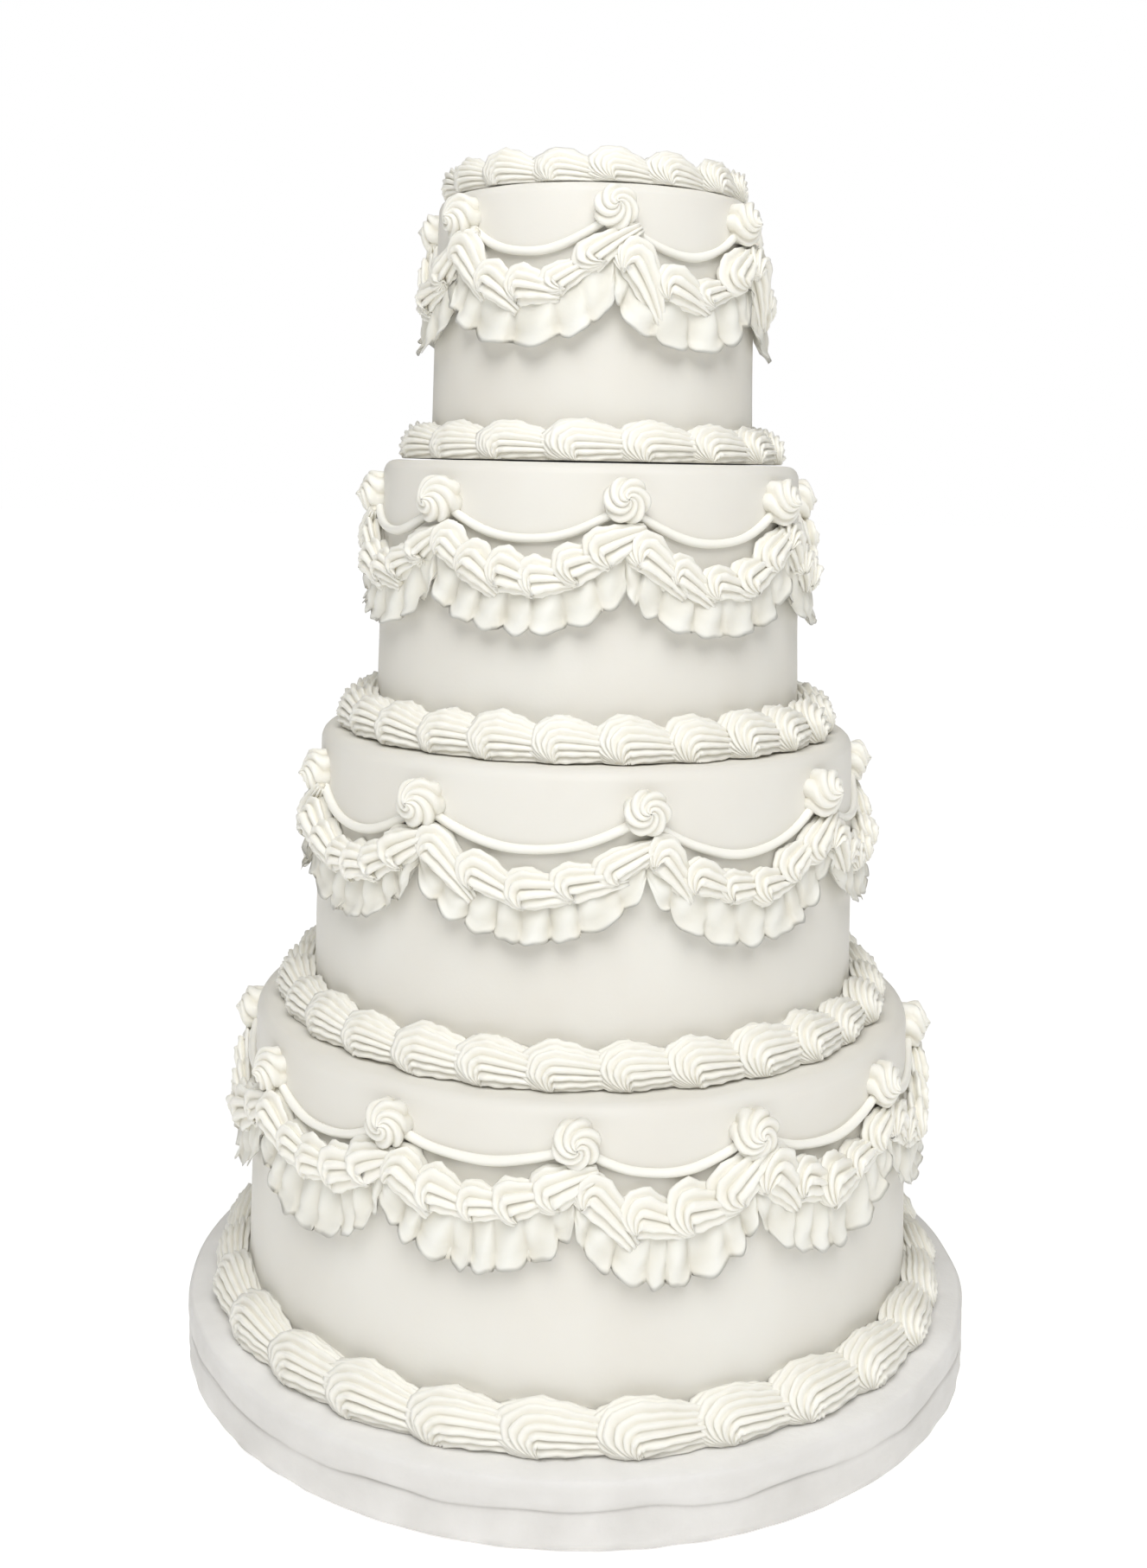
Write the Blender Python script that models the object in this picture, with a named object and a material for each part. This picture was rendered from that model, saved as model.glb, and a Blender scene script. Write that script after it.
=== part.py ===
"""A four tier wedding cake on its drum board, piped all over in buttercream.

Each iced tier is one solid, because the cake is uncut. Round the foot of every tier, and on the top
edge, runs a border of piped shells. High on each wall hangs a row of swags: a petal ruffle, a garland
of shells over it, a plain drop string above, and a rosette over each point where two swags meet.

Metres, +Z up. The origin is the centre of the board's underside, and the front faces -Y.
Angles are in degrees round the cake: 0 is the front and 90 is +X.
"""

import math
import random
from collections import namedtuple

import bmesh
import bpy

# Solids that touch keep this gap between them.
GAP = 0.0003

# The board: two drums, one on the other, with a seam between them.
BOARD_RADIUS = 0.178
BOARD_HEIGHT = 0.027
SEAM_HEIGHT = 0.0150
SEAM_DEPTH = 0.0012
SEAM_HALF = 0.0009
BOARD_EDGE = 0.0020
BOARD_SIDES = 48

# Every tier's wall leans in a little towards its top, and its top edge is softly rounded.
TIER_EDGE = 0.0050

Tier = namedtuple("Tier", "name foot_radius top_radius height sides joints rosette string garland ruffle notch")

# joints are the angles where two swags meet. The other five values are depths below the tier's top:
# the rosette's centre, the lowest string, the lowest garland, the lowest ruffle and the ruffle's notch.
TIERS = (
    Tier("tier_1", 0.1510, 0.1484, 0.1285, 48,
         (-58.1, -29.1, -0.3, 26.4, 56.0, 86.2, 116.4, 146.8, 177.2, 207.6, 238.0, 270.2),
         0.0135, 0.0262, 0.0444, 0.0675, 0.0442),
    Tier("tier_2", 0.1233, 0.1209, 0.1222, 44,
         (-31.8, 11.0, 52.3, 92.0, 131.6, 171.2, 210.8, 250.4, 290.0),
         0.0164, 0.0337, 0.0505, 0.0705, 0.0442),
    Tier("tier_3", 0.0966, 0.0942, 0.1196, 40,
         (-39.8, 8.2, 55.7, 99.8, 143.9, 188.0, 232.1, 276.1),
         0.0157, 0.0323, 0.0498, 0.0714, 0.0520),
    Tier("tier_4", 0.0733, 0.0710, 0.1158, 36,
         (-50.4, 6.1, 58.7, 108.9, 159.1, 209.2, 259.4),
         0.0127, 0.0307, 0.0478, 0.0710, 0.0435),
)

Border = namedtuple("Border", "name shells first_head reach height")

# reach is how far a shell's head stands out from the wall, and first_head where one shell starts.
FOOT_BORDERS = (
    Border("border_foot_1", 27, 2.3, 0.0165, 0.0190),
    Border("border_foot_2", 29, 2.1, 0.0168, 0.0185),
    Border("border_foot_3", 25, 2.4, 0.0178, 0.0190),
    Border("border_foot_4", 17, 5.9, 0.0158, 0.0180),
)
TOP_BORDER = Border("border_top", 16, -3.4, 0.0155, 0.0162)
TOP_BORDER_OUTER = 0.0697

# Where along a shell its sections lie, and how big it is there: a low join, the head, then the tail.
SHELL_STATIONS = ((0.02, 0.72), (0.24, 1.0), (0.64, 0.86))
SHELL_UNEVEN = 0.07

# The drop string is a plain cord of icing, half sunk against the wall. It thins to pass under a rosette.
STRING_HEIGHT = 0.0046
STRING_OUT = 0.0042
STRING_UNDER_ROSETTE = 0.0028
STRING_STATIONS = 5

# The garland: half its height, and how far its shells stand out. It thins to pass under a rosette.
GARLAND_HALF = 0.0068
GARLAND_OUT = 0.0105
GARLAND_TAIL = 0.0080
GARLAND_UNDER_ROSETTE = 0.0034
GARLAND_SHELLS = 5
GARLAND_FROM_ROSETTE = 0.0045
GARLAND_TO_ROSETTE = 0.0190
GARLAND_FIRST_STEP = 0.16

# The ruffle: a ribbon thick at the top and thin at its wavy lower edge, which flares out.
RUFFLE_LOBES = 6
RUFFLE_TOP_OUT = 0.0062
RUFFLE_FLARE = 0.0115
RUFFLE_CREASE_FLARE = 0.0060
RUFFLE_SCALLOP = 0.0030

# The rosette: a swirl of ridges that narrows to a soft peak.
ROSETTE_BACK = 0.0042
ROSETTE_RADIUS = 0.0104
ROSETTE_HEIGHT = 0.0118
ROSETTE_RIDGES = 5
ROSETTE_RIDGE_DEPTH = 0.14
# Each ring of the rosette: share of its height, share of its radius, and its turn in degrees.
ROSETTE_RINGS = ((0.0, 0.90, 0.0), (0.42, 1.0, 26.0), (0.82, 0.55, 62.0))

ICING = "F4F1E4"
PIPED_ICING = "FAF6E6"
BOARD_COVER = "EDECEA"


def clear_scene():
    for obj in list(bpy.data.objects):
        bpy.data.objects.remove(obj)


def linear(channel):
    return channel / 12.92 if channel <= 0.04045 else ((channel + 0.055) / 1.055) ** 2.4


def finish_material(name, hex_colour, roughness):
    """A plain Principled material in the finish's colour."""
    material = bpy.data.materials.new(name)
    material.use_nodes = True
    shader = material.node_tree.nodes["Principled BSDF"]
    rgb = [linear(int(hex_colour[i:i + 2], 16) / 255) for i in (0, 2, 4)]
    shader.inputs["Base Color"].default_value = (*rgb, 1.0)
    shader.inputs["Roughness"].default_value = roughness
    return material


def place(radius, angle, height):
    """The point at this radius, angle round the cake, and height."""
    turn = math.radians(angle)
    return (radius * math.sin(turn), -radius * math.cos(turn), height)


def add_object(name, bm, material, smooth=True):
    bmesh.ops.recalc_face_normals(bm, faces=bm.faces)
    mesh = bpy.data.meshes.new(name)
    bm.to_mesh(mesh)
    bm.free()
    mesh.materials.append(material)
    if smooth:
        mesh.shade_smooth()
        mesh.set_sharp_from_angle(angle=math.radians(50))
    obj = bpy.data.objects.new(name, mesh)
    bpy.context.scene.collection.objects.link(obj)
    return obj


def join_loops(bm, first, second):
    """A band of faces between two loops with the same number of vertices."""
    count = len(first)
    for i in range(count):
        j = (i + 1) % count
        bm.faces.new((first[i], first[j], second[j], second[i]))


def turned_solid(name, profile, sides, material):
    """A solid turned round the axis. The profile is (radius, height) from the foot to the top."""
    bm = bmesh.new()
    loops = []
    for radius, height in profile:
        loops.append([bm.verts.new(place(radius, 360 * i / sides, height)) for i in range(sides)])
    for lower, upper in zip(loops, loops[1:]):
        join_loops(bm, lower, upper)
    bm.faces.new(loops[0])
    bm.faces.new(loops[-1])
    return add_object(name, bm, material)


def ring_solid(name, stations, material):
    """A closed ring round the cake. Each station is an angle and its section's (radius, height) points."""
    bm = bmesh.new()
    loops = [[bm.verts.new(place(r, angle, z)) for r, z in section] for angle, section in stations]
    for first, second in zip(loops, loops[1:] + loops[:1]):
        join_loops(bm, first, second)
    return add_object(name, bm, material)


def wall_radius(tier, foot, height):
    """The wall's radius at a height: it leans in towards the top."""
    share = (height - foot) / tier.height
    return tier.foot_radius + (tier.top_radius - tier.foot_radius) * share


def clear_radius(radius, step):
    """A radius whose chords over steps of this many degrees stay the gap outside the wall."""
    return (radius + GAP) / math.cos(math.radians(step / 2))


def build_board(material):
    """Two covered drums with softened edges and the seam between them."""
    profile = (
        (BOARD_RADIUS, 0.0),
        (BOARD_RADIUS, SEAM_HEIGHT - SEAM_HALF),
        (BOARD_RADIUS - SEAM_DEPTH, SEAM_HEIGHT),
        (BOARD_RADIUS, SEAM_HEIGHT + SEAM_HALF),
        (BOARD_RADIUS, BOARD_HEIGHT - BOARD_EDGE),
        (BOARD_RADIUS - BOARD_EDGE, BOARD_HEIGHT),
    )
    turned_solid("board", profile, BOARD_SIDES, material)


def build_tier(tier, foot, material):
    """One iced tier. Three steps round its top edge."""
    top = foot + tier.height
    diagonal = TIER_EDGE * (1 - math.sqrt(0.5))
    profile = (
        (tier.foot_radius, foot + GAP),
        (wall_radius(tier, foot, top - TIER_EDGE), top - TIER_EDGE),
        (tier.top_radius - diagonal, top - diagonal),
        (tier.top_radius - TIER_EDGE, top),
    )
    turned_solid(tier.name, profile, tier.sides, material)


def shell_stations(border, rng):
    """(angle, size) for each section of a ring of shells. Each head starts on the last one's tail."""
    pitch = 360 / border.shells
    stations = []
    for i in range(border.shells):
        size = 1 + rng.uniform(-SHELL_UNEVEN, SHELL_UNEVEN)
        for along, share in SHELL_STATIONS:
            stations.append((border.first_head + pitch * (i + along), size * share))
    return stations


def build_foot_border(border, wall, foot, material, rng):
    """Shells piped into the corner between a wall and what it stands on."""
    inner = clear_radius(wall, 360 / border.shells * 0.45)
    low = foot + GAP
    stations = []
    for angle, size in shell_stations(border, rng):
        outer = wall + border.reach * size
        high = low + border.height * size
        middle = inner + (outer - inner) * 0.62
        section = (
            (inner, low),
            (outer - 0.1 * border.reach, low),
            (outer, low + 0.36 * border.height * size),
            (middle, low + 0.82 * border.height * size),
            (inner, high),
        )
        stations.append((angle, section))
    ring_solid(border.name, stations, material)


def build_top_border(top, material, rng):
    """Shells standing on the top tier, just inside its edge."""
    low = top + GAP
    centre = TOP_BORDER_OUTER - TOP_BORDER.reach / 2
    stations = []
    for angle, size in shell_stations(TOP_BORDER, rng):
        half = TOP_BORDER.reach / 2 * size
        high = low + TOP_BORDER.height * size
        side = low + 0.45 * TOP_BORDER.height * size
        section = (
            (centre - 0.8 * half, low),
            (centre + 0.8 * half, low),
            (centre + half, side),
            (centre, high),
            (centre - half, side),
        )
        stations.append((angle, section))
    ring_solid(TOP_BORDER.name, stations, material)


def swags(tier):
    """(start, span) in degrees of each swag, from one joint to the next."""
    ends = tier.joints[1:] + (tier.joints[0] + 360,)
    return [(start, end - start) for start, end in zip(tier.joints, ends)]


def hang(high, low, across):
    """The depth of a hanging curve. across runs from -1 at one joint to 1 at the next."""
    return low - (low - high) * across * across


def build_string(tier, foot, material):
    """The drop string, round the tier from rosette to rosette."""
    top = foot + tier.height
    stations = []
    for start, span in swags(tier):
        step = span / STRING_STATIONS
        for i in range(STRING_STATIONS):
            across = 2 * i / STRING_STATIONS - 1
            centre = top - hang(tier.rosette, tier.string, across)
            out = STRING_OUT if i else STRING_UNDER_ROSETTE
            wall = wall_radius(tier, foot, centre - STRING_HEIGHT / 2)
            inner = clear_radius(wall, step)
            section = (
                (inner, centre - STRING_HEIGHT / 2),
                (wall + out, centre),
                (inner, centre + STRING_HEIGHT / 2),
            )
            stations.append((start + step * i, section))
    ring_solid(f"{tier.name}_string", stations, material)


def garland_edges(tier, across):
    """Depths of the garland's upper and lower edge."""
    upper = hang(tier.rosette + GARLAND_FROM_ROSETTE, tier.garland - GARLAND_HALF, across)
    lower = hang(tier.rosette + GARLAND_TO_ROSETTE, tier.garland + GARLAND_HALF, across)
    return upper, lower


def build_garland(tier, foot, material):
    """The swag of shells, thin where it passes under each rosette."""
    top = foot + tier.height
    count = 2 * GARLAND_SHELLS
    stations = []
    for start, span in swags(tier):
        step = span / count
        for i in range(count):
            across = 2 * i / count - 1
            out = GARLAND_OUT if i % 2 else GARLAND_TAIL
            if i == 0:
                out = GARLAND_UNDER_ROSETTE
            if i in (1, count - 1):
                across = math.copysign(1 - GARLAND_FIRST_STEP, across)
                out = GARLAND_UNDER_ROSETTE
            upper, lower = garland_edges(tier, across)
            wall = wall_radius(tier, foot, top - lower)
            inner = clear_radius(wall, step * 1.1)
            section = (
                (inner, top - lower),
                (wall + 0.9 * out, top - lower + 0.30 * (lower - upper)),
                (wall + out, top - upper - 0.32 * (lower - upper)),
                (inner, top - upper),
            )
            stations.append((start + span * (across + 1) / 2, section))
    ring_solid(f"{tier.name}_garland", stations, material)


def build_ruffle(tier, foot, material):
    """The petal ruffle below the garland: lobes swing out and down, creases in and up."""
    top = foot + tier.height
    count = 2 * RUFFLE_LOBES
    stations = []
    for start, span in swags(tier):
        step = span / count
        for i in range(count):
            across = 2 * i / count - 1
            upper = garland_edges(tier, across)[1] + GAP + 0.0006
            lower = hang(tier.notch, tier.ruffle, across)
            flare = RUFFLE_FLARE
            if i % 2 == 0:
                lower -= RUFFLE_SCALLOP
                flare = RUFFLE_CREASE_FLARE
            wall = wall_radius(tier, foot, top - lower)
            inner = clear_radius(wall, step)
            section = (
                (inner, top - upper),
                (wall + flare, top - lower),
                (wall + RUFFLE_TOP_OUT, top - upper),
            )
            stations.append((start + step * i, section))
    ring_solid(f"{tier.name}_ruffle", stations, material)


def build_rosette(tier, foot, number, angle, material, rng):
    """One swirl, facing straight out from the wall."""
    height = foot + tier.height - tier.rosette
    back = wall_radius(tier, foot, height - ROSETTE_RADIUS) + ROSETTE_BACK
    size = 1 + rng.uniform(-SHELL_UNEVEN, SHELL_UNEVEN)
    first_turn = rng.uniform(0, 360 / ROSETTE_RIDGES)
    facing = math.radians(angle)
    out = (math.sin(facing), -math.cos(facing))
    along = (math.cos(facing), math.sin(facing))
    corners = 2 * ROSETTE_RIDGES
    bm = bmesh.new()
    loops = []
    for lift, share, turn in ROSETTE_RINGS:
        loop = []
        for i in range(corners):
            ridge = 1 - ROSETTE_RIDGE_DEPTH * (i % 2)
            radius = ROSETTE_RADIUS * size * share * ridge
            spin = math.radians(360 * i / corners + turn + first_turn)
            reach = back + ROSETTE_HEIGHT * lift
            side = radius * math.cos(spin)
            point = (reach * out[0] + side * along[0],
                     reach * out[1] + side * along[1],
                     height + radius * math.sin(spin))
            loop.append(bm.verts.new(point))
        loops.append(loop)
    for lower, upper in zip(loops, loops[1:]):
        join_loops(bm, lower, upper)
    bm.faces.new(loops[0])
    reach = back + ROSETTE_HEIGHT
    peak = bm.verts.new((reach * out[0], reach * out[1], height))
    for i in range(corners):
        bm.faces.new((loops[-1][i], loops[-1][(i + 1) % corners], peak))
    add_object(f"{tier.name}_rosette_{number:02d}", bm, material)


def main():
    clear_scene()
    rng = random.Random(4)
    icing = finish_material("smoothed_icing", ICING, 0.5)
    piped = finish_material("piped_icing", PIPED_ICING, 0.45)
    cover = finish_material("board_cover", BOARD_COVER, 0.6)
    build_board(cover)
    foot = BOARD_HEIGHT
    for tier, border in zip(TIERS, FOOT_BORDERS):
        build_tier(tier, foot, icing)
        build_foot_border(border, tier.foot_radius, foot, piped, rng)
        build_string(tier, foot, piped)
        build_garland(tier, foot, piped)
        build_ruffle(tier, foot, piped)
        for number, angle in enumerate(tier.joints, 1):
            build_rosette(tier, foot, number, angle, piped, rng)
        foot += tier.height
    build_top_border(foot, piped, rng)


main()
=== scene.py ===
# %% [markdown]
# # A four tier wedding cake, piped in buttercream
#
# A cake like this gets its looks from one soft paste used in two ways. Spread and smoothed, it makes
# the calm walls of the tiers. Pushed through cut nozzles, it makes the ridged shells, strings, petals
# and swirls. This lesson builds each kind of piping the way the hand makes it, then lights the cake.

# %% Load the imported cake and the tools
import math

import bpy
import numpy as np
from mathutils import Matrix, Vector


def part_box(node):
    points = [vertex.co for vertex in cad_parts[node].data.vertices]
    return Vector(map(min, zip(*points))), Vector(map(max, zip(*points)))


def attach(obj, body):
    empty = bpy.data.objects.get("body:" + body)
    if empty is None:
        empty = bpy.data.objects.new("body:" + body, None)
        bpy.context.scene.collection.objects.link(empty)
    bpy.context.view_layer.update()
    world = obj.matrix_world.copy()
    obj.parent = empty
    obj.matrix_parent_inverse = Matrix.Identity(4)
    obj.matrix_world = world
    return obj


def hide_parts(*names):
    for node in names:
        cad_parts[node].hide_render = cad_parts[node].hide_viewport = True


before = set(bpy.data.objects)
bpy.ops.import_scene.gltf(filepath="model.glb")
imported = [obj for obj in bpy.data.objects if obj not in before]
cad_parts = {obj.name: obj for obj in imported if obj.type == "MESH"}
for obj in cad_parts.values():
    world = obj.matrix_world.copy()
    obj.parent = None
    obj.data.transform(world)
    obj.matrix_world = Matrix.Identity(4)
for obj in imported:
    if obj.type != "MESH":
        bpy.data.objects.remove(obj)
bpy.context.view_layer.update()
MM = 0.001

# %% [markdown]
# ## Measure the cake
#
# The frame already knows where everything sits. The rosettes mark the points where two swags meet, so
# their boxes give those angles. The other boxes give how far down each string, garland and ruffle hangs.

# %% Read the tiers from the frame
TIER_NAMES = ("tier_1", "tier_2", "tier_3", "tier_4")
STRING_THICK = 4.6 * MM
# How much a wall's radius shrinks for each metre of height.
WALL_LEAN = 0.02
# How far below the tier's top the ruffle's lip starts at a mark, and its petals in one swag.
RUFFLE_NOTCH = {"tier_1": 44 * MM, "tier_2": 44 * MM, "tier_3": 50 * MM, "tier_4": 43 * MM}
RUFFLE_LOBES = {"tier_1": 8, "tier_2": 8, "tier_3": 7, "tier_4": 6}
# A swag has one of these two counts of shells.
GARLAND_SHELLS = {"tier_1": (4, 5), "tier_2": (5, 6), "tier_3": (5, 6), "tier_4": (4, 5)}


def middle(node):
    """The centre of a node's box."""
    low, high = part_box(node)
    return [(a + b) / 2 for a, b in zip(low, high)]


def lowest(node):
    """The height of a node's foot."""
    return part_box(node)[0][2]


def highest(node):
    """The height of a node's top."""
    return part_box(node)[1][2]


def widest(node):
    """How far a node reaches from the cake's axis."""
    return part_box(node)[1][0]


def read_tier(name):
    """What the piping needs to know of one tier. Angles are in degrees from the front, towards the right."""
    rosettes = sorted(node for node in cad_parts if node.startswith(f"{name}_rosette"))
    joints = []
    for node in rosettes:
        x, y, _ = middle(node)
        angle = math.degrees(math.atan2(x, -y))
        while joints and angle < joints[-1]:
            angle += 360
        joints.append(angle)
    low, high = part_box(name)
    return {
        "name": name,
        "rosettes": rosettes,
        "joints": joints,
        "foot": low[2],
        "top": high[2],
        "foot_radius": (high[0] - low[0]) / 2,
        "rosette": high[2] - middle(rosettes[0])[2],
        "string": high[2] - lowest(f"{name}_string") - STRING_THICK / 2,
        "garland": high[2] - lowest(f"{name}_garland"),
        "ruffle": high[2] - lowest(f"{name}_ruffle"),
    }


tiers = [read_tier(name) for name in TIER_NAMES]

# %% [markdown]
# ## Two helpers: one for meshes, one for nodes
#
# All the piping is made of grids: rings of points, one after the other, like the slices of a loaf.
# One function skins a stack of such grids at once, so a border of many shells stays a single mesh.

# %% Skin grids of points


def cylinder(radius, angle, height):
    """Points at a radius, an angle in degrees round the cake and a height, as an array with x, y, z last."""
    turn = np.radians(angle)
    return np.stack(np.broadcast_arrays(radius * np.sin(turn), -radius * np.cos(turn), height), axis=-1)


def skin(name, grids, material, ring=False, groove=None):
    """One object from grids shaped (count, rows, columns, 3). Columns close; rows close too in a ring."""
    count, rows, columns = grids.shape[:3]
    index = np.arange(rows * columns).reshape(rows, columns)
    first = index if ring else index[:-1]
    second = np.roll(index, -1, axis=0) if ring else index[1:]
    quads = np.stack((first, np.roll(first, -1, 1), np.roll(second, -1, 1), second), axis=-1).reshape(-1, 4)
    corners = quads.ravel()
    sizes = np.full(len(quads), 4)
    if not ring:
        corners = np.concatenate((corners, index[0][::-1], index[-1]))
        sizes = np.concatenate((sizes, (columns, columns)))
    offsets = np.arange(count)[:, None] * rows * columns
    corners = (corners[None, :] + offsets).ravel()
    sizes = np.tile(sizes, count)
    mesh = bpy.data.meshes.new(name)
    mesh.vertices.add(count * rows * columns)
    mesh.vertices.foreach_set("co", grids.astype(np.float32).ravel())
    mesh.loops.add(len(corners))
    mesh.loops.foreach_set("vertex_index", corners.astype(np.int32))
    mesh.polygons.add(len(sizes))
    mesh.polygons.foreach_set("loop_start", (np.cumsum(sizes) - sizes).astype(np.int32))
    mesh.polygons.foreach_set("use_smooth", np.ones(len(sizes), dtype=bool))
    mesh.update(calc_edges=True)
    if groove is not None:
        depth = mesh.attributes.new("groove", "FLOAT", "POINT")
        depth.data.foreach_set("value", groove.astype(np.float32).ravel())
    mesh.materials.append(material)
    piece = bpy.data.objects.new(name, mesh)
    bpy.context.scene.collection.objects.link(piece)
    return piece


def dress(piece, slot, *nodes):
    """The piece rides on the cake and stands for these CAD nodes."""
    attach(piece, "root")
    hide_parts(*nodes)
    print(piece.name, len(piece.data.polygons), "faces")


# %% Add a node with its settings and links


def linear(hex_colour):
    """An sRGB hex colour as linear red, green, blue and alpha."""
    channels = [int(hex_colour[i:i + 2], 16) / 255 for i in (0, 2, 4)]
    return [c / 12.92 if c <= 0.04045 else ((c + 0.055) / 1.055) ** 2.4 for c in channels] + [1.0]


def add_node(tree, kind, inputs, **settings):
    """Adds a node. An input takes a plain value, or the output that is linked to it."""
    node = tree.nodes.new(kind)
    for setting, value in settings.items():
        setattr(node, setting, value)
    for socket, value in inputs.items():
        if isinstance(value, bpy.types.NodeSocket):
            tree.links.new(value, node.inputs[socket])
        else:
            node.inputs[socket].default_value = value
    return node


# %% [markdown]
# ## Buttercream and the board's covering
#
# Butter beaten with sugar is a warm white, a little see-through, and dull with a faint sheen. The smoothed
# walls get a darker, near neutral and cooler copy of that white, which is painted shade. On the piping the
# grooves are painted a deeper cream, as painted shade and bounced light between the ridges.

# %% Mix the icing
PATCHES_WHERE_GROOVED = 0.45
SHEEN_SPREAD = 0.08
WAVES_PER_PORE = 9
WAVE_DEPTH_PER_PORE = 2.5
GLOW_REACH = 3 * MM
SUGAR_IOR = 1.45
SHEEN = 0.35


def paste(name, light, deep, patch, roughness, pore, pore_depth, glow, painted_shade_strength=0.0):
    """A white paste: two close colours in soft patches, fine pores, and light that sinks in by glow.

    patch, pore and pore_depth are lengths. The last argument is how far the groove attribute paints shade,
    leaning the colour to the deep one."""
    material = bpy.data.materials.new(name)
    material.use_nodes = True
    tree = material.node_tree
    shader = tree.nodes["Principled BSDF"]
    place = add_node(tree, "ShaderNodeTexCoord", {}).outputs["Object"]
    patches = add_node(tree, "ShaderNodeTexNoise", {"Vector": place, "Scale": 1 / patch, "Detail": 3.0})
    share = patches.outputs["Fac"]
    # Painted shade: where the groove attribute is high, the colour leans to the deep one and the soft
    # patches count for less.
    if painted_shade_strength:
        softened = add_node(tree, "ShaderNodeMath", {0: share, 1: PATCHES_WHERE_GROOVED},
                            operation="MULTIPLY").outputs[0]
        depth = add_node(tree, "ShaderNodeAttribute", {}, attribute_name="groove").outputs["Fac"]
        share = add_node(tree, "ShaderNodeMath", {0: depth, 1: painted_shade_strength, 2: softened},
                         operation="MULTIPLY_ADD", use_clamp=True).outputs[0]
    colour = add_node(tree, "ShaderNodeMix", {"Factor": share, "A": linear(light), "B": linear(deep)},
                      data_type="RGBA")
    sheen = add_node(tree, "ShaderNodeMapRange", {"Value": patches.outputs["Fac"],
                                                  "To Min": roughness - SHEEN_SPREAD,
                                                  "To Max": roughness + SHEEN_SPREAD})
    pores = add_node(tree, "ShaderNodeTexNoise", {"Vector": place, "Scale": 1 / pore, "Detail": 4.0})
    waves = add_node(tree, "ShaderNodeTexNoise", {"Vector": place, "Scale": 1 / (WAVES_PER_PORE * pore),
                                                  "Detail": 1.0})
    swell = add_node(tree, "ShaderNodeBump", {"Height": waves.outputs["Fac"], "Strength": 1.0,
                                              "Distance": WAVE_DEPTH_PER_PORE * pore_depth})
    relief = add_node(tree, "ShaderNodeBump", {"Height": pores.outputs["Fac"], "Distance": pore_depth,
                                               "Strength": 1.0, "Normal": swell.outputs["Normal"]})
    tree.links.new(colour.outputs["Result"], shader.inputs["Base Color"])
    tree.links.new(sheen.outputs["Result"], shader.inputs["Roughness"])
    tree.links.new(relief.outputs["Normal"], shader.inputs["Normal"])
    shader.inputs["Subsurface Weight"].default_value = glow
    shader.inputs["Subsurface Radius"].default_value = (1.0, 0.85, 0.6)
    shader.inputs["Subsurface Scale"].default_value = GLOW_REACH
    shader.inputs["IOR"].default_value = SUGAR_IOR
    shader.inputs["Specular IOR Level"].default_value = SHEEN
    return material


# Butter icing drawn flat with a scraper: near neutral, matte, faint waves, darker than the piped copy as
# painted shade.
smoothed_buttercream = paste("scraper_smoothed_buttercream", "E9E8E2", "E1DDD4", 45 * MM, 0.52,
                             1.4 * MM, 0.05 * MM, 0.10)
# Butter icing pushed through a star nozzle: warm ivory, with painted shade and bounced light in the grooves,
# a deeper cream.
piped_buttercream = paste("star_piped_buttercream", "F7F6F0", "EAE6D8", 14 * MM, 0.42,
                          0.9 * MM, 0.06 * MM, 0.07, painted_shade_strength=0.8)
# The same icing through a slot nozzle: smoother, painted greyer than the star-piped copy as painted shade,
# with more painted shade in the notches between petals, low down and in the dimples.
petal_buttercream = paste("slot_piped_buttercream", "F0F0EA", "DEDACD", 12 * MM, 0.46,
                          1.2 * MM, 0.05 * MM, 0.07, painted_shade_strength=0.9)
# Rolled white paste stretched over the drums: dry and creased, with painted shade down the side and in the
# seam.
board_paste = paste("rolled_white_board_paste", "F6F5F3", "BEBBB6", 25 * MM, 0.55,
                    2.2 * MM, 0.20 * MM, 0.05, painted_shade_strength=0.8)

# %% [markdown]
# ## The board
#
# Two drums are stacked and wrapped, which leaves a wavy seam near the top all the way round. The
# covering is never quite tight, so its side creases and its edge wanders by a fraction of a millimetre.

# %% Wrap the board
BOARD_COLUMNS = 320
SEAM_BELOW_TOP = 12 * MM
SEAM_WIDE = 1.1 * MM
SEAM_DEEP = 1.3 * MM
BOARD_ROUND = 2.2 * MM
BOARD_INSET = 1.1 * MM
BOARD_CREASE = 0.46 * MM
SEAM_WANDER = 1.0 * MM
EDGE_WANDER = 0.30 * MM
TOP_WANDER = 0.08 * MM
BOARD_TOP_BELOW = 0.1 * MM
# Heights of rings below the seam, each with its own creases.
LOW_SIDE = (1.2 * MM, 4 * MM, 7 * MM, 10 * MM)
# The seam's profile: the place across it, and how deep it is there.
SEAM_PROFILE = ((-1.6, 0.0), (-0.7, 0.35), (0.0, 1.0), (0.7, 0.45), (1.6, 0.0))
# Distances of rings from the top, between the seam and the edge.
HIGH_SIDE = (8 * MM, 4.5 * MM)
# Painted shade on the low side, the high side and the start of the edge; the top has none.
LOW_SIDE_SHADE = 0.45
HIGH_SIDE_SHADE = 0.40
EDGE_SHADE = 0.35


def wander(angles, rng, waves, low=2, high=14):
    """A smooth random curve round the cake, between about -1 and 1. It closes on itself."""
    curve = np.zeros_like(angles)
    for _ in range(waves):
        turns = rng.integers(low, high)
        curve += np.sin(np.radians(angles) * turns + rng.uniform(0, 2 * math.pi))
    return curve / math.sqrt(waves)


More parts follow.
